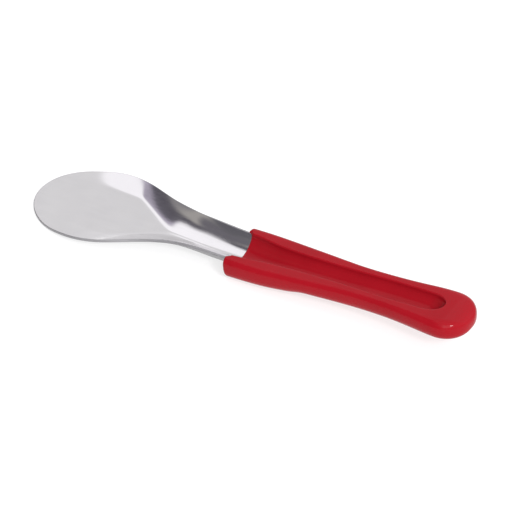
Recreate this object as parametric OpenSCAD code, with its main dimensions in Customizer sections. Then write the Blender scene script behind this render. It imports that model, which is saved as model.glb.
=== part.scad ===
// Gelato spatula: one pressed stainless blade with a trough neck and a buried tang, and a grooved
// plastic handle moulded round the tang. It lies as it does on a counter, on the blade's tip and on
// the underside of the handle's front end, with the blade towards -X and the handle towards +X.

/* [Overall] */
// Length from the blade's tip to the handle's rear end
overall_l = 260; // [250:1:285]

/* [Blade] */
// Width of the oval blade
blade_w = 61; // [54:0.5:66]
// Length of the blade's rounded tip
tip_l = 38.5; // [34:0.5:44]
// Roundness of the tip, where 2 is half an ellipse and more is blunter
tip_n = 2.05; // [2:0.05:2.6]
// Thickness of the steel sheet
steel_t = 1.5; // [1.2:0.1:1.8]
// Height of the blade's upper face above the handle's underside, at the blade's middle
blade_h = 9; // [8:0.1:10]
// Upward slope of the blade towards its tip, in degrees
blade_slope = 2.9; // [1.5:0.1:4]
// Width of the flat part of the blade between its two creases
flat_w = 35.8; // [34:0.2:38]
// Distance from the tip to the end of the V where the flat runs out
flat_l = 81; // [79:0.5:85]

/* [Neck] */
// Width of the trough neck over the steel
neck_w = 26; // [25:0.1:26.4]
// Height of the neck's rims above the handle's underside
neck_rim_h = 14.8; // [13:0.1:15]
// Height of the trough's floor above the handle's underside
neck_floor_h = 4.9; // [4.6:0.1:5.2]

/* [Tang] */
// Length of steel buried in the handle
tang_l = 66; // [50:1:80]
// Width of the tang at its rear end
tang_w = 16.4; // [15:0.1:17]

/* [Handle] */
// Distance from the blade's tip to the handle's front face
steel_l = 123.2; // [121:0.2:126]
// Height of the handle over its rims
handle_h = 13.6; // [13.4:0.1:15]
// Width of the handle at its front end
front_w = 33.2; // [32:0.1:35]
// Width of the handle at its waist
waist_w = 24.9; // [23.5:0.1:26]
// Width of the handle at its flared rear end
rear_w = 31.4; // [29:0.1:34]
// Radius of the rims' outer edge
rim_r = 2.6; // [2:0.1:2.8]

/* [Groove] */
// Width of the groove at the handle's front face
groove_front_w = 20; // [19.6:0.1:20.4]
// Width of the groove at the waist
groove_w = 12.4; // [11:0.1:13]
// Depth of the groove at the waist
groove_d = 6.8; // [6.2:0.1:7.1]
// Distance from the groove's rounded end to the handle's rear end
groove_stop = 15.5; // [14:0.5:20]

/* [Hidden] */

// Clearance between the moulded plastic and the steel
gap = 0.3;
// Thickness of plastic over the steel in the groove, at the front face
skin_t = 0.6;
// Where the blade's height is measured
blade_mid = 60;
// Where the flat starts to narrow into its V, and the greatest share of the half-width it takes
flat_s = 52;
flat_share = 0.72;
// Where the floor starts to dip from the blade into the trough, and the length of the dip
dip_s = 76;
dip_l = 55.2;
// Share of the way from the blade's width to the neck's, at stations from the tip
narrow_k = [[tip_l, 0], [46, 0.045], [54, 0.17], [64, 0.4], [74, 0.63], [84, 0.795], [96, 0.925],
    [steel_l, 1]];
// Height of the curled sides above the blade's plane, at stations from the tip
curl_k = [[18, 0], [30, 1.1], [38, 1.7], [50, 2.5], [68, 4.4], [84, 6.4], [100, 7.5], [steel_l, 7.2]];
// Share of the sides' slope that they take at the crease, where 0 is an arc that leaves the flat smoothly
crease_k = [[20, 0.7], [45, 0.95], [62, 0.9], [72, 0.85], [82, 0.6], [96, 0]];
// Height of the tang's sides and of its floor inside the handle, and the lengths they take to get there
tang_rim_h = 9.6;
tang_floor_h = 5.4;
tang_rim_l = tang_l * 0.3;
tang_floor_l = 30;
// Length over which the tang narrows
tang_taper_l = tang_l * 0.45;
// Exponent of the handle's underside, where 2 is an ellipse, and the height it rises behind the fingers
belly_k = [[steel_l, 3.4], [145, 3.3], [162, 2.75]];
rise_k = [[155, 0], [160, 0.2], [167, 1.6], [176, 1.4], [190, 1.1], [215, 1], [230, 0.4], [242, 0]];
// Extra height of the rims at the front end, and its length
front_lift = 0.5;
front_lift_l = 27;
// How far the sides stand forward and the groove stands back at the front end, and over what length
wing = 0.8;
setback = 1.3;
lead_l = 12;
// Rounding of the handle's front edges, below and over the rims, and length of its rear end cap
front_r = 1.5;
front_rim_r = 0.5;
cap_l = 16;
// Exponents of the rear end cap seen from the side and from above, and the height of its middle
cap_n = 2.6;
cap_plan_n = 2.25;
cap_mid_h = handle_h * 0.48;
// Share of the roundness that is built at the tip and the cap, which end in a small flat
tip_end = 0.995;
cap_end = 0.99;
// Inner rounding of the rims, and the narrowest lip between it and their outer rounding
inner_r = 1.1;
lip_min = 0.2;
// Exponent of the groove's section, the length over which its end closes and the width it closes to
groove_n = 1.65;
groove_end_l = 10.5;
groove_shut = 0.22;
groove_shut_l = 6;

cap_s = overall_l - cap_l;
groove_end = overall_l - groove_stop;
mid_s = (steel_l + overall_l) / 2;

// Points on a half section of sheet, and on each wall of the handle's half section
SHEET_N = 12;
WALL_N = 14;

// Smooth curve through [station, value] knots, flat beyond its ends
function knot(k, s, i = 0) = i < len(k) - 2 && s > k[i + 1][0] ? knot(k, s, i + 1) : i;
function slope(k, i) =
    i == 0 || i == len(k) - 1 ? 0
    : (k[i + 1][1] - k[i - 1][1]) / (k[i + 1][0] - k[i - 1][0]);
function hermite(a, b, ta, tb, u) =
    (2 * u ^ 3 - 3 * u ^ 2 + 1) * a + (u ^ 3 - 2 * u ^ 2 + u) * ta
    + (3 * u ^ 2 - 2 * u ^ 3) * b + (u ^ 3 - u ^ 2) * tb;
function curve(k, s0) =
    let (s = min(max(s0, k[0][0]), k[len(k) - 1][0]), i = knot(k, s), d = k[i + 1][0] - k[i][0])
    hermite(k[i][1], k[i + 1][1], slope(k, i) * d, slope(k, i + 1) * d, (s - k[i][0]) / d);
function ease(u) = let (v = min(max(u, 0), 1)) v * v * (3 - 2 * v);
function mix(a, b, u) = a + (b - a) * u;

// ---- steel: outline, rims, floor and flat at a station s from the tip ----
function plane_h(s) = blade_h + (blade_mid - s) * tan(blade_slope);
function half_w(s) =
    s < tip_l ? blade_w / 2 * (1 - ((tip_l - s) / tip_l * tip_end) ^ tip_n) ^ (1 / tip_n)
    : s < steel_l ? mix(blade_w / 2, neck_w / 2, curve(narrow_k, s))
    : mix(neck_w / 2, tang_w / 2, ease((s - steel_l) / tang_taper_l));
function open_rim_h(s) = min(plane_h(s) + curve(curl_k, s), neck_rim_h);
function rim_h(s) = mix(open_rim_h(min(s, steel_l)), tang_rim_h, ease((s - steel_l) / tang_rim_l));
function open_floor_h(s) = mix(plane_h(s), neck_floor_h, ease((s - dip_s) / dip_l));
function floor_h(s) = mix(open_floor_h(s), tang_floor_h, ease((s - steel_l) / tang_floor_l));
function flat_half(s) = flat_w / 2 * min(1, max(0, 1 - (s - flat_s) / (flat_l - flat_s)));

// Half section of sheet: [y, z, angle of the surface] at a fraction u of its half-width. The side is
// an arc that leaves the flat at its crease and ends at the rim. grow widens it past its rims.
function sheet_pt(s, u, grow) =
    let (
        w0 = half_w(s), q = min(flat_half(s), w0 * flat_share), h = max(rim_h(s) - floor_h(s), 0.001),
        w = w0 - steel_t / 2 * sin(2 * atan(h / (w0 - q))),
        chord = atan(h / (w - q)), a = chord * curve(crease_k, s),
        r = (w - q) / (sin(2 * chord - a) - sin(a)),
        y = w * sin(90 * u), b = y > q ? asin(min(sin(a) + (y - q) / r, 1)) : 0,
        z = y > q ? r * (cos(a) - cos(b)) : 0, e = u == 1 ? grow : 0
    )
    [y + e * cos(b), floor_h(s) - steel_t / 2 + z + e * sin(b), b];

// Closed ring of a sheet section: upper face from -Y to +Y, then lower face back
function sheet_half(s, t, grow, side) =
    [for (j = [0:SHEET_N]) let (p = sheet_pt(s, j / SHEET_N, grow))
        [p[0] - side * t / 2 * sin(p[2]), p[1] + side * t / 2 * cos(p[2])]];
function rev(v) = [for (i = [len(v) - 1:-1:0]) v[i]];
function mirrored(v) = [for (p = v) [-p[0], p[1]]];
function tail(v) = [for (i = [1:len(v) - 1]) v[i]];
function at(s, ring) = [for (p = ring) [s, p[0], p[1]]];
function sheet_ring(s) =
    let (up = sheet_half(s, steel_t, 0, 1), down = sheet_half(s, steel_t, 0, -1))
    at(s, concat(rev(mirrored(tail(up))), up, rev(down), mirrored(tail(down))));

// ---- handle: widths and groove at a station s from the tip ----
outer_k = [[steel_l, front_w / 2], [steel_l + 18, front_w / 2 - 0.15], [steel_l + 45, waist_w / 2 + 1.95],
    [mid_s + 2, waist_w / 2], [mid_s + 28, waist_w / 2 + 0.7], [cap_s, rear_w / 2],
    [overall_l, rear_w / 2]];
groove_k = [[steel_l, groove_front_w / 2], [steel_l + 24, groove_w / 2 + 0.9], [mid_s - 8, groove_w / 2],
    [mid_s + 22, groove_w / 2 + 0.6], [groove_end, groove_w / 2 + 0.2]];
depth_k = [[steel_l, handle_h + front_lift - neck_floor_h - gap - skin_t], [steel_l + 30, groove_d],
    [groove_end, groove_d - 0.4]];

// Fraction of the groove that is left near its rounded end
function groove_left(s) =
    s <= groove_end - groove_end_l ? 1
    : s >= groove_end ? 0
    : sqrt(1 - ((s - groove_end + groove_end_l) / groove_end_l) ^ 2);

// Depth of the front edge's rounding at a station
function rounding(s, r) = s < steel_l + r ? r - sqrt(max(0, r ^ 2 - (steel_l + r - s) ^ 2)) : 0;

// Share of the front end's shape that is left at a station
function lead(s) = 1 - ease((s - steel_l) / lead_l);
function top_h(s) = handle_h + front_lift * (1 - ease((s - steel_l) / front_lift_l));

// Half loop of the handle, [s, y, z]: underside centre to the rim's top, then down the groove
function handle_half(s) =
    let (
        e = rounding(s, front_r), w = curve(outer_k, s) - e, top = top_h(s) - rounding(s, front_rim_r),
        c = groove_left(s), shut = mix(groove_shut, 1, ease((s - groove_end) / groove_shut_l)),
        g = curve(groove_k, s) * max(c, shut) + 0.2 * e,
        d = max(curve(depth_k, s) * c - e, 0),
        ri = min(inner_r, g / 2), rz = min(inner_r * c, d / 2),
        ro = min(rim_r, w - g - ri - lip_min), hb = top - ro, n = curve(belly_k, s),
        low = e * 0.8 + curve(rise_k, s), ahead = s - wing * lead(s), back = s + setback * lead(s)
    )
    concat(
        [for (j = [0:WALL_N - 5]) let (a = 90 - 90 * j / (WALL_N - 5))
            [mix(s, ahead, cos(a)), w * cos(a) ^ (2 / n), mix(low, hb, 1 - sin(a) ^ (2 / n))]],
        [for (j = [1:4]) let (a = 22.5 * j) [ahead, w - ro + ro * cos(a), hb + ro * sin(a)]],
        [for (j = [0:2]) let (a = 90 - 45 * j) [back, g + ri - ri * cos(a), top - rz + rz * sin(a)]],
        [for (j = [1:WALL_N - 3]) let (b = 90 * j / (WALL_N - 3), p = 2 / groove_n)
            [back, g * cos(b) ^ p, top - rz - (d - rz) * sin(b) ^ p]]
    );
function both(half) =
    concat(half, rev([for (i = [1:len(half) - 2]) [half[i][0], -half[i][1], half[i][2]]]));
function cap_u(s) = max(0, (s - cap_s) / cap_l) * cap_end;
function handle_ring(s) =
    let (u = cap_u(s), cy = (1 - u ^ cap_plan_n) ^ (1 / cap_plan_n), cz = (1 - u ^ cap_n) ^ (1 / cap_n))
    [for (p = both(handle_half(s))) [p[0], p[1] * cy, cap_mid_h + (p[2] - cap_mid_h) * cz]];

// Loop of the tang's pocket, with as many points as the handle's
function pocket_pt(s, u, side) =
    let (p = sheet_pt(s, u, gap), t = steel_t / 2 + gap)
    [side > 0 ? s + setback * lead(s) : s, p[0] - side * t * sin(p[2]), p[1] + side * t * cos(p[2])];
function pocket_ring(s) =
    let (m = WALL_N - 1)
    both(concat([for (j = [0:m]) pocket_pt(s, j / m, -1)], [for (j = [m:-1:0]) pocket_pt(s, j / m, 1)]));

// ---- stations along the length ----
tip_stations = [for (a = [0, 9, 14, 19, each [25:6:85]]) tip_l * (1 - cos(a))];
blade_stations = concat(tip_stations, [for (s = [tip_l:3:steel_l - 1]) s], [steel_l],
    [for (i = [1:14]) steel_l + tang_l * i / 14]);
front_stations = concat([for (a = [90:-22.5:22.5]) steel_l + front_r * (1 - sin(a))],
    [steel_l + front_r]);
body_stations = [for (s = [steel_l + front_r + 3:4:groove_end - groove_end_l - 1]) s];
end_stations = [for (a = [0:15:75]) groove_end - groove_end_l + groove_end_l * sin(a)];
cap_stations = [for (a = [10:10:80]) cap_s + cap_l * sin(a)];
handle_stations = concat(front_stations, body_stations, end_stations, [groove_end],
    [for (s = cap_stations) if (s > groove_end + 0.3) s], [overall_l]);
pocket_stations = [for (i = [0:14]) steel_l + tang_l * i / 14];

// ---- solids from rings ----
function flat_list(v) = [for (r = v) each r];
function skin(rings, base, n, turn) =
    [for (i = [0:rings - 2]) for (j = [0:n - 1])
        let (a = base + i * n + j, b = base + i * n + (j + 1) % n, c = a + n, d = b + n)
        each turn ? [[a, c, b], [b, c, d]] : [[a, b, c], [b, d, c]]];

// Strip of faces across one closed ring whose point j faces point n - j
function lid(base, n, turn) =
    [for (j = [0:n / 2 - 2])
        let (a = base + j, b = base + j + 1, c = base + n - 1 - j, d = base + n - 2 - j)
        each turn ? [[a, b, c], [b, d, c]] : [[a, c, b], [b, c, d]]];

blade_rings = [for (s = blade_stations) sheet_ring(s)];
handle_rings = [for (s = handle_stations) handle_ring(s)];
pocket_rings = [for (s = pocket_stations) pocket_ring(s)];

// ---- resting pose: tipped until the blade's tip meets the counter ----
tip_low = floor_h(0) - steel_t;
rest_pitch = atan(tip_low / (steel_l + front_r * 0.9));
function rested(p) =
    let (c = cos(rest_pitch), n = sin(rest_pitch))
    [p[0] * c - p[2] * n, p[1], p[0] * n + p[2] * c];
blade_rest = [for (p = flat_list(blade_rings)) rested(p)];
handle_rest = [for (p = flat_list(handle_rings)) rested(p)];
pocket_rest = [for (p = flat_list(pocket_rings)) rested(p)];
low = min(min([for (p = blade_rest) p[2]]), min([for (p = handle_rest) p[2]]));
centre = (min([for (p = blade_rest) p[0]]) + max([for (p = handle_rest) p[0]])) / 2;
function placed(v) = [for (p = v) p - [centre, 0, low]];

module blade() {
    n = len(blade_rings[0]);
    count = len(blade_rings);
    color("silver")
        polyhedron(placed(blade_rest), concat(
            skin(count, 0, n, false), lid(0, n, false), lid((count - 1) * n, n, true)));
}

module handle() {
    n = len(handle_rings[0]);
    count = len(handle_rings);
    base = count * n;
    deep = len(pocket_rings);
    front_face = [for (j = [0:n - 1])
        let (a = j, b = (j + 1) % n, c = base + j, d = base + (j + 1) % n)
        each [[a, b, c], [b, d, c]]];
    rear = base - n;
    rear_face = [for (j = [1:n - 2]) [rear, rear + j + 1, rear + j]];
    stop = base + (deep - 1) * n;
    m = 2 * WALL_N;
    stop_face = [for (j = [0:WALL_N - 2], side = [0, 1])
        let (
            a = stop + (side == 0 ? j : (n - j) % n),
            b = stop + (side == 0 ? j + 1 : n - j - 1),
            c = stop + (side == 0 ? m - 1 - j : n - m + 1 + j),
            d = stop + (side == 0 ? m - 2 - j : n - m + 2 + j)
        )
        each side == 0 ? [[a, b, c], [b, d, c]] : [[a, c, b], [b, c, d]]];
    color("crimson")
        polyhedron(placed(concat(handle_rest, pocket_rest)), concat(
            skin(count, 0, n, true), skin(deep, base, n, false), front_face, rear_face, stop_face));
}

blade();
handle();
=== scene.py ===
"""Gelato spatula on a pale table: a pressed stainless blade with a trough neck, and a grooved red handle.

The shapes are worked out in the tool's own frame, in millimetres: s runs from the blade's tip to the
handle's rear end, y to the side and z up from the handle's underside. The tool is then tipped into its
resting pose, which is the pose of the CAD model, and scaled to metres.
"""
import math

import bpy
import numpy as np
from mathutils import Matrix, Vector


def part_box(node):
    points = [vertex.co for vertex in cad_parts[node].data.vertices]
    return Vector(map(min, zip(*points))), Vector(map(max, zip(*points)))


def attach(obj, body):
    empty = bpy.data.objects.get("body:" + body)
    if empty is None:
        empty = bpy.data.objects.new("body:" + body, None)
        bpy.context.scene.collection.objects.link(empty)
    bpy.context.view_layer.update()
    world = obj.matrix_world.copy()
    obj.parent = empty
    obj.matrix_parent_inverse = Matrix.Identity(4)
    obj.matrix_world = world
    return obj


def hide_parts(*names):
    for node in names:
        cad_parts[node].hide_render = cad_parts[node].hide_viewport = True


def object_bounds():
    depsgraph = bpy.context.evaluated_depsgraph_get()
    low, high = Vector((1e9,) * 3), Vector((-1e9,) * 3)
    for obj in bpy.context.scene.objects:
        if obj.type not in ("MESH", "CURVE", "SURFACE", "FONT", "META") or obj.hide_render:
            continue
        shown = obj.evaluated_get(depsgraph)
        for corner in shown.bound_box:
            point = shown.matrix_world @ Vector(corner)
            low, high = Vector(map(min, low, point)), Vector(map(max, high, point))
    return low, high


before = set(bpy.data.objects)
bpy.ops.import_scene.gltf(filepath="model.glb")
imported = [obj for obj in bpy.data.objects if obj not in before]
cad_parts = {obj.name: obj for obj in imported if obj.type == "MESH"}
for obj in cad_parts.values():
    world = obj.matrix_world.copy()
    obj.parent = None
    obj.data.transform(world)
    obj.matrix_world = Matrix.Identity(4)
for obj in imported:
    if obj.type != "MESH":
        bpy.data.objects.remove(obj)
cad_lo, cad_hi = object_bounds()

MM = 0.001

# ---- driving sizes, as in the CAD model ----
OVERALL_L = 260.0
BLADE_W = (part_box("blade")[1].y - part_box("blade")[0].y) / MM
TIP_L = 38.5
TIP_N = 2.05
STEEL_T = 1.5
BLADE_H = 9.0
BLADE_MID = 60.0
BLADE_SLOPE = math.radians(2.9)
FLAT_W = 35.8
FLAT_L = 81.0
FLAT_TAPER = 52.0
NECK_W = 26.0
DIP_S = 76.0
DIP_L = 55.2
NECK_FLOOR_H = 4.9
NECK_RIM_H = 14.8
CURL = [(18, 0), (30, 1.1), (38, 1.7), (50, 2.5), (68, 4.4), (84, 6.4), (100, 7.5), (123.2, 7.2)]
BLADE_SIDE = [
    (38.5, 30.5), (46, 29.7), (54, 27.5), (64, 23.5), (74, 19.5), (84, 16.6), (96, 14.3), (123.2, 13.0),
]
STEEL_L = 123.2
TANG_L = 66.0
TANG_W = 16.4
TANG_RIM_H = 9.6
TANG_FLOOR_H = 5.4
TANG_LIFT_L = 30.0
HANDLE_H = 13.6
FRONT_W = 33.2
WAIST_W = 24.9
REAR_W = 31.4
BELLY = [(123.2, 3.4), (145, 3.3), (162, 2.75)]
FRONT_LIFT = 0.5
FRONT_LIFT_L = 27.0
GROOVE_POWER = 1.65
FRONT_R = 1.5
GROOVE_FRONT_W = 20.0
GROOVE_W = 12.4
GROOVE_D = 6.8
GROOVE_STOP = 15.5
GROOVE_END_L = 10.5
CAP_L = 16.0
CAP_N = 2.6
CAP_PLAN_N = 2.25
WING = 0.8
SETBACK = 1.3
LEAD_L = 12.0
SKIN_T = 0.6
CAD_GAP = 0.3
RISE = [(155, 0), (160, 0.2), (167, 1.6), (176, 1.4), (190, 1.1), (215, 1.0), (230, 0.4), (242, 0)]

# ---- finish sizes that only the visual model has ----
EDGE_R = 0.3
CREASE_SOFT = [(20, 2.0), (45, 1.3), (54, 1.7), (72, 2.2), (84, 2.6), (96, 3.0), (110, 3.5)]
CREASE_SHARE = [(20, 0.7), (45, 1.0), (62, 0.95), (72, 0.85), (82, 0.7), (94, 0.45), (110, 0.12), (118, 0.05)]
ROW_SLANT = [(30, 0), (45, 0.3), (53, 0.45), (62, 0.5), (74, 0.3), (86, 0)]
GAP = 0.05
INNER_R = 1.1
RIM_R = [(123.2, 3.6), (150, 3.3), (200, 3.0), (235, 3.8), (250, 5.2)]
STEP = 0.25
SHARP_ANGLE = math.radians(50)
FRONT_TOP_R = 1.0
CAP_MID_H = HANDLE_H * 0.48
FLAT_SHARE = 0.72
TANG_WIDTH_SHARE = 0.45
TANG_RIM_SHARE = 0.3
BODY_ROWS = 104
TANG_ROWS = 30
HANDLE_STEP = 1.1
FLOOR_HALF = 5.0
FLOOR_DROP = 0.00002
NOISE_SPAN = (0.3, 0.7)
NOISE_ROUGHNESS = 0.55

MID_S = (STEEL_L + OVERALL_L) / 2
CAP_S = OVERALL_L - CAP_L
GROOVE_END = OVERALL_L - GROOVE_STOP


# ---- curves along the length ----
def ease(u):
    v = np.clip(u, 0, 1)
    return v * v * (3 - 2 * v)


def mix(a, b, u):
    return a + (b - a) * u


def through(knots, s):
    """Smooth curve through (station, value) knots, flat beyond its ends."""
    x = np.array([k[0] for k in knots], float)
    y = np.array([k[1] for k in knots], float)
    t = np.zeros(len(x))
    t[1:-1] = (y[2:] - y[:-2]) / (x[2:] - x[:-2])
    s = np.clip(s, x[0], x[-1])
    i = np.clip(np.searchsorted(x, s, side="right") - 1, 0, len(x) - 2)
    d = x[i + 1] - x[i]
    u = (s - x[i]) / d
    return (
        (2 * u**3 - 3 * u**2 + 1) * y[i] + (u**3 - 2 * u**2 + u) * t[i] * d
        + (3 * u**2 - 2 * u**3) * y[i + 1] + (u**3 - u**2) * t[i + 1] * d
    )


def softened(shape, sigma):
    """The curve shape(s) with its corners rounded over about sigma millimetres."""
    s = np.arange(-4 * sigma, OVERALL_L + 4 * sigma, STEP)
    k = np.arange(-round(4 * sigma / STEP), round(4 * sigma / STEP) + 1) * STEP
    weight = np.exp(-0.5 * (k / sigma) ** 2)
    padded = np.pad(shape(s), len(k) // 2, mode="edge")
    values = np.convolve(padded, weight / weight.sum(), mode="valid")
    return lambda q: np.interp(q, s, values)


# ---- the steel's outline, rims, floor and flat ----
def plane_h(s):
    return BLADE_H + (BLADE_MID - s) * math.tan(BLADE_SLOPE)


def raw_width(s):
    blade = through(BLADE_SIDE, s)
    tang = mix(NECK_W / 2, TANG_W / 2, ease((s - STEEL_L) / (TANG_L * TANG_WIDTH_SHARE)))
    return np.where(s < STEEL_L, blade, tang)


def raw_rim(s):
    end = min(plane_h(STEEL_L) + CURL[-1][1], NECK_RIM_H)
    tang = mix(end, TANG_RIM_H, ease((s - STEEL_L) / (TANG_L * TANG_RIM_SHARE)))
    return np.where(s < STEEL_L, np.minimum(plane_h(s) + through(CURL, s), NECK_RIM_H), tang)


def raw_floor(s):
    neck = mix(plane_h(s), NECK_FLOOR_H, ease((s - DIP_S) / DIP_L))
    return mix(neck, TANG_FLOOR_H, ease((s - STEEL_L) / TANG_LIFT_L))


def raw_flat(s):
    return FLAT_W / 2 * np.clip(1 - (s - FLAT_TAPER) / (FLAT_L - FLAT_TAPER), 0, 1)


side_w = softened(raw_width, 3.0)
rim_h = softened(raw_rim, 2.5)
floor_h = softened(raw_floor, 2.5)
flat_half = softened(raw_flat, 1.2)


def blade_width(s):
    """Half-width of the flat sheet, less the rounded edge, at a station."""
    tip = np.clip((TIP_L - s) / (TIP_L - EDGE_R), 0, 1)
    round_tip = (BLADE_W / 2 - EDGE_R) * (1 - tip**TIP_N) ** (1 / TIP_N)
    return np.where(s < TIP_L, round_tip * (side_w(s) - EDGE_R) / (BLADE_W / 2 - EDGE_R), side_w(s) - EDGE_R)


def sheet_half(t, columns):
    """Middle of the sheet from its centre line to its rim: s, y and z arrays, one row for each t.

    A row leaves the centre line at station t and, past the crease, slants towards the tip.
    """
    q = np.minimum(flat_half(t), FLAT_SHARE * blade_width(t))
    slant = through(ROW_SLANT, t)
    s_rim = t.astype(float)
    for _ in range(6):
        s_rim = t - slant * np.maximum(blade_width(s_rim) - q, 0)
    w0 = blade_width(s_rim)
    h = np.maximum(rim_h(s_rim) - plane_h(s_rim) + plane_h(t) - floor_h(t), 0.0005)
    lean = 2 * np.arctan(h / np.maximum(w0 - q, 0.01))
    w = np.maximum(w0 - STEEL_T / 2 * np.sin(lean), 0.0)
    chord = np.arctan(h / np.maximum(w - q, 0.01))
    start = chord * through(CREASE_SHARE, t)
    end = 2 * chord - start
    turn = np.sin(end) - np.sin(start)
    length = np.where(turn > 0.01, (w - q) * (end - start) / np.maximum(turn, 0.01), (w - q) / np.cos(chord))
    length = np.maximum(length, 1e-6)
    run = (q + length)[:, None] * columns[None, :]
    past = run - q[:, None]
    blur = through(CREASE_SOFT, t)[:, None]
    soft = 0.5 * (past + np.sqrt(past**2 + (0.6 * blur) ** 2))
    soft0 = soft[:, :1]
    fold = 0.5 * (1 + np.tanh(past / blur))
    fold0 = fold[:, :1]
    fold = (fold - fold0) / (1 - fold0)
    angle = start[:, None] * fold + (end - start)[:, None] * (soft - soft0) / length[:, None]
    step = np.diff(run, axis=1)
    middle = 0.5 * (angle[:, 1:] + angle[:, :-1])
    zero = np.zeros((len(t), 1))
    y = np.hstack([zero, np.cumsum(np.cos(middle) * step, axis=1)])
    z = np.hstack([zero, np.cumsum(np.sin(middle) * step, axis=1)])
    y *= (w / np.maximum(y[:, -1], 1e-9))[:, None]
    z *= (h / np.maximum(z[:, -1], 1e-9))[:, None]
    out = np.maximum(y - q[:, None], 0) / np.maximum(w - q, 1e-6)[:, None]
    s = t[:, None] + (s_rim - t)[:, None] * out
    height = plane_h(s) - plane_h(t)[:, None] + (floor_h(t) - STEEL_T / 2)[:, None] + z
    return s, y, height


# ---- resting pose ----
TIP_TOP = float(plane_h(0))
REST_PITCH = math.atan((TIP_TOP - STEEL_T) / (STEEL_L + FRONT_R * 0.9))


def rested(points):
    """Points of the tool's own frame, in millimetres, put into the resting pose in metres."""
    p = np.asarray(points, float).reshape(-1, 3)
    c, n = math.cos(REST_PITCH), math.sin(REST_PITCH)
    x = p[:, 0] * c - p[:, 2] * n + TIP_TOP * n
    z = p[:, 0] * n + p[:, 2] * c - (TIP_TOP - STEEL_T) * c
    return np.column_stack([x * MM + cad_lo.x, p[:, 1] * MM, z * MM + cad_lo.z])


def make_piece(name, points, faces):
    """Link a mesh in the resting pose.

    Known fault: build_handle winds every face inward, and build_blade does so for its rounded edge and
    that edge's two end faces. A reader that goes by the winding needs those faces turned.
    """
    mesh = bpy.data.meshes.new(name)
    mesh.from_pydata(rested(points).tolist(), [], faces)
    mesh.validate(clean_customdata=False)
    mesh.shade_smooth()
    mesh.set_sharp_from_angle(angle=SHARP_ANGLE)
    piece = bpy.data.objects.new(name, mesh)
    bpy.context.collection.objects.link(piece)
    return piece


# ---- blade ----
def blade_stations():
    tip = [EDGE_R + (TIP_L - EDGE_R) * (1 - math.cos(math.radians(a))) for a in np.arange(0, 90, 2.5)]
    body = np.linspace(TIP_L, STEEL_L + 2, BODY_ROWS)
    tang = np.linspace(STEEL_L + 2, STEEL_L + TANG_L, TANG_ROWS)[1:]
    return np.array(tip + list(body) + list(tang))


def unit(v):
    return v / np.maximum(np.linalg.norm(v, axis=-1, keepdims=True), 1e-12)


def build_blade():
    half_columns = 64
    s = blade_stations()
    along_s, y, z = sheet_half(s[1:], np.linspace(0, 1, half_columns + 1))
    rows, across = len(s) - 1, 2 * half_columns + 1
    yy = np.hstack([-y[:, :0:-1], y])
    zz = np.hstack([z[:, :0:-1], z])
    ss = np.hstack([along_s[:, :0:-1], along_s])
    middle = np.stack([ss, yy, zz], axis=-1)
    along = np.gradient(middle, axis=0)
    sideways = np.gradient(middle, axis=1)
    normal = unit(np.cross(along, sideways))
    flat_normal = unit(np.array([math.sin(BLADE_SLOPE), 0.0, math.cos(BLADE_SLOPE)]))
    tip_rows = 3
    normal[:tip_rows] = flat_normal
    pole = np.array([s[0], 0.0, floor_h(s[0]) - STEEL_T / 2])
    half_t = STEEL_T / 2

    points = [pole + flat_normal * half_t, pole - flat_normal * half_t]
    top0 = len(points)
    points += list((middle + normal * half_t).reshape(-1, 3))
    low0 = len(points)
    points += list((middle - normal * half_t).reshape(-1, 3))

    def top(i, j):
        return top0 + i * across + j

    def low(i, j):
        return low0 + i * across + j

    faces = []
    for j in range(across - 1):
        faces.append([0, top(0, j + 1), top(0, j)][::-1])
        faces.append([1, low(0, j), low(0, j + 1)][::-1])
    for i in range(rows - 1):
        for j in range(across - 1):
            faces.append([top(i, j), top(i + 1, j), top(i + 1, j + 1), top(i, j + 1)])
            faces.append([low(i, j), low(i, j + 1), low(i + 1, j + 1), low(i + 1, j)])

    edge_first = len(faces)
    edge_points = len(points)
    # rounded edge, all the way from one end of the tang round the tip to the other
    rim = [(i, 0) for i in range(rows - 1, -1, -1)] + [None] + [(i, across - 1) for i in range(rows)]
    rim_mid = np.array([pole if r is None else middle[r] for r in rim])
    rim_normal = np.array([flat_normal if r is None else normal[r] for r in rim])
    rim_top = [0 if r is None else top(*r) for r in rim]
    rim_low = [1 if r is None else low(*r) for r in rim]
    tangent = unit(np.gradient(rim_mid, axis=0))
    outward = unit(np.cross(rim_normal, tangent))
    centre = np.array([TIP_L, 0.0, rim_mid[rows][2]])
    outward *= np.sign(np.sum(outward[rows] * (rim_mid[rows] - centre)))
    turns = [math.radians(a) for a in (22.5, 45, 67.5, 90)]
    offsets = [(EDGE_R * math.sin(a), half_t - EDGE_R + EDGE_R * math.cos(a)) for a in turns]
    offsets += [(d, -n) for d, n in reversed(offsets)]
    lines = [rim_top]
    for d, n in offsets:
        start = len(points)
        points += list(rim_mid + outward * d + rim_normal * n)
        lines.append(list(range(start, start + len(rim))))
    lines.append(rim_low)
    for upper, lower in zip(lines, lines[1:]):
        for k in range(len(rim) - 1):
            faces.append([upper[k], lower[k], lower[k + 1], upper[k + 1]])
    edge_last = len(faces)

    # end of the tang
    last = rows - 1
    for j in range(across - 1):
        faces.append([top(last, j + 1), top(last, j), low(last, j), low(last, j + 1)])
    faces.append([line[0] for line in lines][::-1])
    faces.append([line[-1] for line in lines])
    piece = make_piece("spatula_blade", points, faces)
    for material in steel_finishes():
        piece.data.materials.append(material)
    for polygon in piece.data.polygons:
        on_edge = edge_first <= polygon.index < edge_last
        underside = all(low0 <= k < edge_points or k == 1 for k in polygon.vertices)
        polygon.material_index = 1 if on_edge else 2 if underside else 0
    return piece


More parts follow.
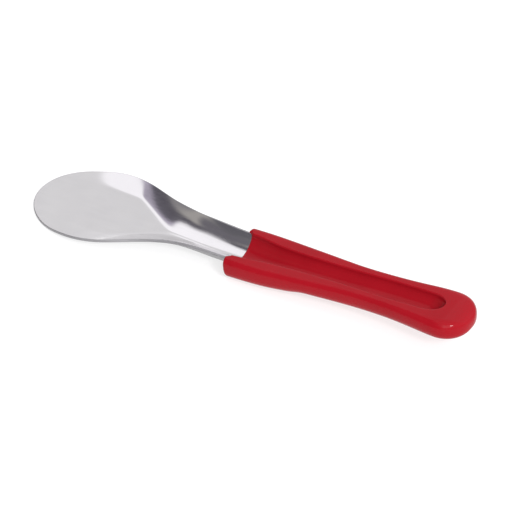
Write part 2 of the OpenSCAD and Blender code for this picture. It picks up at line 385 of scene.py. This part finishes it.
# ---- handle ----
OUTER = [
    (STEEL_L, FRONT_W / 2), (STEEL_L + 18, FRONT_W / 2 - 0.15), (STEEL_L + 45, WAIST_W / 2 + 1.95),
    (MID_S + 2, WAIST_W / 2), (MID_S + 28, WAIST_W / 2 + 0.7), (CAP_S, REAR_W / 2), (OVERALL_L, REAR_W / 2),
]
GROOVE = [
    (STEEL_L, GROOVE_FRONT_W / 2), (STEEL_L + 24, GROOVE_W / 2 + 0.9), (MID_S - 8, GROOVE_W / 2),
    (MID_S + 22, GROOVE_W / 2 + 0.6), (GROOVE_END, GROOVE_W / 2 + 0.2),
]
DEPTH = [
    (STEEL_L, HANDLE_H + FRONT_LIFT - NECK_FLOOR_H - SKIN_T - CAD_GAP), (STEEL_L + 30, GROOVE_D),
    (GROOVE_END, GROOVE_D - 0.4),
]
outer_w = softened(lambda s: through(OUTER, s), 4.0)
groove_w = softened(lambda s: through(GROOVE, s), 4.0)
groove_d = softened(lambda s: through(DEPTH, s), 3.0)
rim_r = softened(lambda s: through(RIM_R, s), 3.0)
rise = softened(lambda s: through(RISE, s), 1.0)

SIDE_N, FILLET_N, LIP_N, INNER_N, GROOVE_N = 26, 9, 3, 6, 22
HALF_N = SIDE_N + FILLET_N + LIP_N + INNER_N + GROOVE_N


def groove_left(s):
    """Share of the groove's depth that is left near its rounded end."""
    if s <= GROOVE_END - GROOVE_END_L:
        return 1.0
    if s >= GROOVE_END:
        return 0.0
    return math.sqrt(1 - ((s - GROOVE_END + GROOVE_END_L) / GROOVE_END_L) ** 2)


def rounding(s, r):
    u = STEEL_L + r - s
    return r - math.sqrt(max(0.0, r * r - u * u)) if u > 0 else 0.0


def lead(s):
    """Share of the front end's shape at a station: its sides stand forward and its groove stands back."""
    return 1 - ease((s - STEEL_L) / LEAD_L)


def handle_half(s):
    """Half loop of the handle, [s, y, z]: from under its centre round the rim and down the groove."""
    e = rounding(s, FRONT_R)
    top = HANDLE_H + FRONT_LIFT * (1 - ease((s - STEEL_L) / FRONT_LIFT_L)) - rounding(s, FRONT_TOP_R)
    belly = float(through(BELLY, s))
    w = float(outer_w(s)) - e
    c = groove_left(s)
    g = float(groove_w(s)) * max(c, float(mix(0.22, 1, ease((s - GROOVE_END) / 6)))) + 0.2 * e
    d = max(float(groove_d(s)) * c - 0.6 * e, 0.0)
    r = float(rim_r(s))
    ri = min(INNER_R, g / 2)
    rz = min(INNER_R * c, d / 2)
    hb = top - r
    near_front = lead(s)
    forward, back = s - WING * near_front, s + SETBACK * near_front
    half = []
    for j in range(SIDE_N):
        a = math.pi / 2 * (1 - j / (SIDE_N - 1))
        z = mix(0.6 * e + float(rise(s)), hb, 1 - math.sin(a) ** (2 / belly))
        half.append((mix(s, forward, math.cos(a)), w * math.cos(a) ** (2 / belly), z))
    for j in range(1, FILLET_N + 1):
        a = math.pi / 2 * j / FILLET_N
        half.append((forward, w - r + r * math.sin(math.pi / 2 - a), hb + r * math.sin(a)))
    lip_out, lip_in = w - r, g + ri
    for j in range(1, LIP_N + 1):
        u = j / (LIP_N + 1)
        half.append((mix(forward, back, u), mix(lip_out, lip_in, u), top))
    for j in range(INNER_N):
        a = math.pi / 2 * (1 - j / (INNER_N - 1))
        half.append((back, g + ri - ri * math.cos(a), top - rz + rz * math.sin(a)))
    for j in range(1, GROOVE_N + 1):
        b = math.pi / 2 * j / GROOVE_N
        wide, deep = max(math.cos(b), 0) ** (2 / GROOVE_POWER), math.sin(b) ** (2 / GROOVE_POWER)
        half.append((back, g * wide, top - rz - (d - rz) * deep))
    half[0] = (s, 0.0, half[0][2])
    half[-1] = (back, 0.0, half[-1][2])
    return half


def both(half):
    return half + [(s, -y, z) for s, y, z in half[-2:0:-1]]


def handle_ring(s):
    u = max(0.0, (s - CAP_S) / CAP_L)
    cy = max(0.0, 1 - u**CAP_PLAN_N) ** (1 / CAP_PLAN_N)
    cz = max(0.0, 1 - u**CAP_N) ** (1 / CAP_N)
    return [(x, y * cy, CAP_MID_H + (z - CAP_MID_H) * cz) for x, y, z in both(handle_half(s))]


def pocket_ring(s):
    """Closed loop just outside the tang, with as many points as the handle's."""
    low_n = HALF_N // 2
    up_n = HALF_N - low_n
    loops = []
    for count, side in ((low_n, -1), (up_n, 1)):
        _, y, z = sheet_half(np.array([s]), np.linspace(0, 1, count))
        y, z = y[0], z[0]
        ty, tz = np.gradient(y), np.gradient(z)
        size = np.hypot(ty, tz)
        ty, tz = ty / size, tz / size
        reach = np.where(np.arange(count) == count - 1, EDGE_R + GAP, 0.0)
        off = side * (STEEL_T / 2 + GAP)
        py = y - off * tz + reach * ty
        pz = z + off * ty + reach * tz
        py[0] = 0.0
        share = SETBACK * lead(s) if side > 0 else 0.0
        loops.append([(s + share, float(a), float(b)) for a, b in zip(py, pz)])
    return both(loops[0] + loops[1][::-1])


def handle_stations():
    front = [STEEL_L + FRONT_R * (1 - math.cos(math.radians(a))) for a in range(0, 90, 10)]
    body = list(np.arange(STEEL_L + FRONT_R, GROOVE_END - GROOVE_END_L, HANDLE_STEP))
    close = [GROOVE_END - GROOVE_END_L * (1 - math.sin(math.radians(a))) for a in range(0, 90, 6)]
    cap = [CAP_S + CAP_L * math.sin(math.radians(a)) for a in np.arange(3, 90, 3)]
    return front + body + close + [GROOVE_END] + [s for s in cap if s > GROOVE_END + 0.2]


def build_handle():
    stations = handle_stations()
    rings = [handle_ring(s) for s in stations]
    n = len(rings[0])
    pocket = [pocket_ring(s) for s in np.linspace(STEEL_L, STEEL_L + TANG_L + GAP, TANG_ROWS)]
    points = [p for ring in rings + pocket for p in ring]
    base = len(rings) * n
    pole = len(points)
    points.append((OVERALL_L, 0.0, CAP_MID_H))
    faces = []
    for start, count, turn in ((0, len(rings), True), (base, len(pocket), False)):
        for i in range(count - 1):
            for j in range(n):
                a, b = start + i * n + j, start + i * n + (j + 1) % n
                face = [a, a + n, b + n, b]
                faces.append(face if turn else face[::-1])
    for j in range(n):
        k = (j + 1) % n
        faces.append([j, k, base + k, base + j])
        faces.append([base - n + k, base - n + j, pole])
    stop = base + (len(pocket) - 1) * n
    for j in range(n // 2):
        if j < n // 2 - 1 - j:
            faces.append([stop + j, stop + j + 1, stop + n // 2 - 1 - j, stop + n // 2 - j])
            m = [(n - j) % n, n - j - 1, n - n // 2 + 1 + j, n - n // 2 + j]
            faces.append([stop + k for k in m][::-1])
    return make_piece("spatula_handle", points, faces)


# ---- materials ----
def new_material(name):
    material = bpy.data.materials.new(name)
    material.use_nodes = True
    tree = material.node_tree
    return material, tree, tree.nodes["Principled BSDF"]


def add(tree, kind, **values):
    node = tree.nodes.new(kind)
    for key, value in values.items():
        setattr(node, key, value)
    return node


def noise(tree, scale, detail, stretch=(1, 1, 1)):
    place = add(tree, "ShaderNodeTexCoord")
    shape = add(tree, "ShaderNodeMapping")
    shape.inputs["Scale"].default_value = stretch
    texture = add(tree, "ShaderNodeTexNoise")
    texture.inputs["Scale"].default_value = scale
    texture.inputs["Detail"].default_value = detail
    texture.inputs["Roughness"].default_value = NOISE_ROUGHNESS
    tree.links.new(place.outputs["Object"], shape.inputs["Vector"])
    tree.links.new(shape.outputs["Vector"], texture.inputs["Vector"])
    return texture.outputs["Fac"]


def ramp(tree, value, low, high, out_low, out_high):
    node = add(tree, "ShaderNodeMapRange")
    node.inputs["From Min"].default_value = low
    node.inputs["From Max"].default_value = high
    node.inputs["To Min"].default_value = out_low
    node.inputs["To Max"].default_value = out_high
    tree.links.new(value, node.inputs["Value"])
    return node.outputs["Result"]


def mixed(tree, factor, first, second):
    node = add(tree, "ShaderNodeMix", data_type="RGBA")
    node.inputs["A"].default_value = (*first, 1)
    node.inputs["B"].default_value = (*second, 1)
    tree.links.new(factor, node.inputs["Factor"])
    return node.outputs["Result"]


def bump(tree, height, strength, distance):
    node = add(tree, "ShaderNodeBump")
    node.inputs["Strength"].default_value = strength
    node.inputs["Distance"].default_value = distance
    tree.links.new(height, node.inputs["Height"])
    return node.outputs["Normal"]


def steel(name, dark, light, smooth, rough, line_scale, stretch):
    """A metal between two shades and two roughnesses, drawn by fine lines."""
    material, tree, shader = new_material(name)
    cloud = noise(tree, 60, 3)
    lines = noise(tree, line_scale, 3, stretch)
    shader.inputs["Metallic"].default_value = 1.0
    shade = mixed(tree, ramp(tree, cloud, *NOISE_SPAN, 0, 1), dark, light)
    tree.links.new(shade, shader.inputs["Base Color"])
    tree.links.new(ramp(tree, lines, *NOISE_SPAN, smooth, rough), shader.inputs["Roughness"])
    tree.links.new(bump(tree, lines, 0.05, 0.0002), shader.inputs["Normal"])
    return material


def steel_finishes():
    """The polished upper face, the blanked edge and the satin underside of the sheet; the underside's darker
    shade is partly painted shade for the shadowed floor it mirrors.
    """
    return [
        steel("polished_steel", (0.70, 0.692, 0.70), (0.73, 0.722, 0.728), 0.10, 0.16, 900, (0.02, 1, 1)),
        steel("cut_edge", (0.34, 0.335, 0.345), (0.40, 0.395, 0.405), 0.50, 0.65, 1500, (0.15, 0.15, 1)),
        # satin underside: a rougher finish, and a darker base that is painted shade standing in for the
        # shadowed floor it mirrors
        steel("satin_steel_painted_shade", (0.28, 0.275, 0.285), (0.32, 0.315, 0.325), 0.30, 0.42, 900, (0.05, 1, 1)),
    ]


def plastic_material():
    material, tree, shader = new_material("red_plastic")
    cloud = noise(tree, 45, 3)
    grain = noise(tree, 2200, 2)
    dark, light = (0.298, 0.0056, 0.0115), (0.326, 0.0066, 0.0135)
    shade = mixed(tree, ramp(tree, cloud, *NOISE_SPAN, 0, 1), dark, light)
    tree.links.new(shade, shader.inputs["Base Color"])
    tree.links.new(ramp(tree, grain, *NOISE_SPAN, 0.08, 0.12), shader.inputs["Roughness"])
    shader.inputs["Specular IOR Level"].default_value = 0.10
    tree.links.new(bump(tree, grain, 0.04, 0.0001), shader.inputs["Normal"])
    return material


def floor_material():
    material, tree, shader = new_material("pale_floor")
    cloud = noise(tree, 3, 2)
    tree.links.new(mixed(tree, cloud, (0.35, 0.35, 0.35), (0.37, 0.37, 0.37)), shader.inputs["Base Color"])
    shader.inputs["Roughness"].default_value = 0.9
    shader.inputs["Specular IOR Level"].default_value = 0.0
    shader.inputs["Emission Color"].default_value = (1, 1, 1, 1)
    shader.inputs["Emission Strength"].default_value = 0.70
    return material


# ---- stage, light and camera ----
def build_floor():
    mesh = bpy.data.meshes.new("studio_floor")
    signs = [(-1, -1), (1, -1), (1, 1), (-1, 1)]
    level = cad_lo.z - FLOOR_DROP
    mesh.from_pydata([(x * FLOOR_HALF, y * FLOOR_HALF, level) for x, y in signs], [], [(0, 1, 2, 3)])
    floor = bpy.data.objects.new("studio_floor", mesh)
    bpy.context.collection.objects.link(floor)
    floor.data.materials.append(floor_material())


def aim(thing, target):
    direction = Vector(target) - thing.location
    thing.rotation_euler = direction.to_track_quat("-Z", "Y").to_euler()


def area_light(name, location, size, power):
    light = bpy.data.lights.new(name, "AREA")
    light.shape = "RECTANGLE"
    light.size, light.size_y = size
    light.energy = power
    lamp = bpy.data.objects.new(name, light)
    lamp.location = location
    bpy.context.collection.objects.link(lamp)
    aim(lamp, (0, 0, 0))


def toward(tree, direction, axis, inner, outer):
    """1 inside the angle inner from an axis and 0 outside the angle outer, in degrees."""
    dot = add(tree, "ShaderNodeVectorMath", operation="DOT_PRODUCT")
    dot.inputs[1].default_value = Vector(axis).normalized()
    tree.links.new(direction, dot.inputs[0])
    low, high = math.cos(math.radians(outer)), math.cos(math.radians(inner))
    return ramp(tree, dot.outputs["Value"], low, high, 0, 1)


def times(tree, first, second):
    node = add(tree, "ShaderNodeMath", operation="MULTIPLY")
    tree.links.new(first, node.inputs[0])
    tree.links.new(second, node.inputs[1])
    return node.outputs["Value"]


def layered(tree, factor, under, over):
    node = add(tree, "ShaderNodeMix", data_type="RGBA")
    tree.links.new(factor, node.inputs["Factor"])
    tree.links.new(under, node.inputs["A"])
    node.inputs["B"].default_value = (*over, 1)
    return node.outputs["Result"]


# Zones of the surroundings that the steel mirrors: axis, inner and outer angle in degrees, colour, and
# whether the zone ends overhead. Each is laid over the ones before it. They were placed so that the
# neck shows the photograph's bands in the main view; from other sides the steel mirrors other zones.
LOW_CARD, CARD = (-0.57, 0.71, 0.42), (-0.446, 0.666, 0.598)
OPEN_SIDE, CORNER = (-0.86, -0.36, 0.36), (-0.90, -0.05, 0.43)
SHUTTER, DOORWAY = (-0.42, -0.60, 0.68), (-0.30, -0.93, 0.20)
LAVENDER, DARK, OLIVE = (0.52, 0.475, 0.58), (0.12, 0.112, 0.135), (0.46, 0.44, 0.42)
ZONES = [
    (LOW_CARD, 8.5, 10.5, (0.88, 0.87, 0.885), False),
    (CARD, 4.0, 6.5, (0.86, 0.85, 0.865), False),
    (OPEN_SIDE, 46, 52, LAVENDER, True),
    (OPEN_SIDE, 41.6, 44.4, DARK, True),
    (OPEN_SIDE, 39.5, 43, DARK, False),
    (OPEN_SIDE, 31.5, 34.5, OLIVE, False),
    (CORNER, 11, 19, (0.27, 0.26, 0.28), False),
    (SHUTTER, 10, 19, (0.18, 0.17, 0.195), False),
    (DOORWAY, 18, 30, (0.15, 0.145, 0.165), False),
]


def build_world():
    """White surroundings, a little dimmer near the horizon, with the zones laid over them."""
    world = bpy.data.worlds.new("studio")
    bpy.context.scene.world = world
    world.use_nodes = True
    tree = world.node_tree
    sky = tree.nodes["Background"]
    place = add(tree, "ShaderNodeTexCoord")
    direction = place.outputs["Generated"]
    split = add(tree, "ShaderNodeSeparateXYZ")
    tree.links.new(direction, split.inputs["Vector"])
    rise_share = ramp(tree, split.outputs["Z"], 0.28, 0.42, 0, 1)
    shade = mixed(tree, rise_share, (0.90, 0.89, 0.91), (1.27, 1.25, 1.29))
    below = ramp(tree, split.outputs["Z"], 0.84, 0.76, 0, 1)
    for axis, inner, outer, colour, ends_overhead in ZONES:
        share = toward(tree, direction, axis, inner, outer)
        if ends_overhead:
            share = times(tree, share, below)
        shade = layered(tree, share, shade, colour)
    tree.links.new(shade, sky.inputs["Color"])
    sky.inputs["Strength"].default_value = 1.0


def build_camera():
    azimuth, elevation = math.radians(30.95), math.radians(38.84)
    distance = 2.042
    back = Vector((math.sin(azimuth) * math.cos(elevation), -math.cos(azimuth) * math.cos(elevation),
                   math.sin(elevation)))
    target = Vector((-0.00313, 0.01010, 0))
    data = bpy.data.cameras.new("camera")
    data.sensor_width = 36.0
    data.lens = 275.9
    camera = bpy.data.objects.new("camera", data)
    camera.location = target + back * distance
    bpy.context.collection.objects.link(camera)
    aim(camera, target)
    bpy.context.scene.camera = camera


blade = build_blade()
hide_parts("blade")
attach(blade, "root")

handle = build_handle()
handle.data.materials.append(plastic_material())
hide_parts("handle")
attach(handle, "root")

build_floor()
build_world()
area_light("key_light", (0.75, -1.12, 0.90), (0.90, 0.90), 5.5)
area_light("small_light", (1.09, -0.74, 1.09), (0.28, 0.24), 12.0)
build_camera()
bpy.context.scene.view_settings.view_transform = "Standard"
